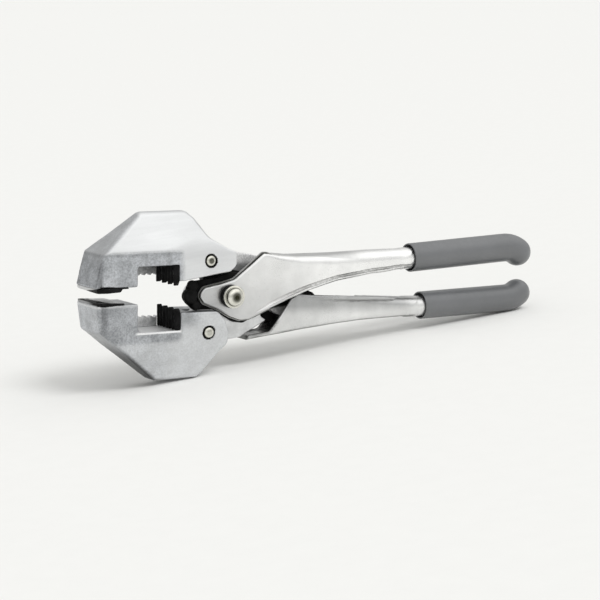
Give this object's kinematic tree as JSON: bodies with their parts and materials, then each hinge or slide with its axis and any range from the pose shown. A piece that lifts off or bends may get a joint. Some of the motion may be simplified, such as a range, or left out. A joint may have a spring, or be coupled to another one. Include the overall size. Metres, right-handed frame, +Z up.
{
  "type": "hand nibbler",
  "caption": "Long-handled hand nibbler with two cast jaws round a square work notch, crossed levers on one pivot bolt and hooked vinyl grips.",
  "frame": {"origin": "centre of the bounding box at the level of the surface that the tool stands on", "axes": "+X along the tool towards the grips, +Y towards the back of the tool, +Z up"},
  "size_m": [0.4021, 0.0538, 0.1318],
  "materials": {
    "jaw_casting": "die cast, tumbled, satin",
    "arm_steel": "ground sheet",
    "handle_steel": "polished pressed steel with light pitting",
    "nickel": "nickel plated, polished",
    "blackened_steel": "black oxide",
    "strip_steel": "ground",
    "screw_steel": "zinc plated",
    "screw_black": "black oxide",
    "grip_vinyl": "matte dipped vinyl",
    "black_nylon": "matte",
    "black_rubber": "matte",
    "bronze": "sintered"
  },
  "bodies": {
    "lower_jaw_lever": {"lower_jaw": "jaw_casting", "lower_jaw_arm": "arm_steel", "lower_jaw_rivet": "nickel", "lower_blade": "blackened_steel", "lower_blade_screws": "screw_steel", "lower_toothed_insert": "blackened_steel", "lower_grip_strip": "strip_steel", "lower_insert_screws": "screw_black", "upper_handle": "handle_steel", "upper_handle_rivets": "handle_steel", "rivet_sleeves": "screw_steel", "upper_grip": "grip_vinyl", "core_plate": "black_nylon", "core_plate_screws": "screw_black", "pivot_bolt": "nickel", "pivot_spacer": "black_nylon", "thrust_washer": "bronze", "disc_spring": "screw_steel", "rear_washer": "screw_steel", "pivot_nut": "screw_steel"},
    "upper_jaw_lever": {"upper_jaw": "jaw_casting", "upper_jaw_arm": "arm_steel", "upper_jaw_rivet": "nickel", "upper_blade": "blackened_steel", "upper_blade_screws": "screw_steel", "upper_toothed_insert": "blackened_steel", "upper_grip_strip": "strip_steel", "upper_insert_screws": "screw_black", "lower_handle": "handle_steel", "lower_handle_rivets": "handle_steel", "lower_grip": "grip_vinyl", "pivot_bush": "bronze", "closing_buffer": "black_rubber"}
  },
  "joints": [
    {"name": "pivot", "type": "hinge", "parent": "lower_jaw_lever", "child": "upper_jaw_lever", "pos_m": [-0.08991, 0, 0.05879], "axis": [0, 1, 0], "range_deg": [-2.2, 24]}
  ]
}
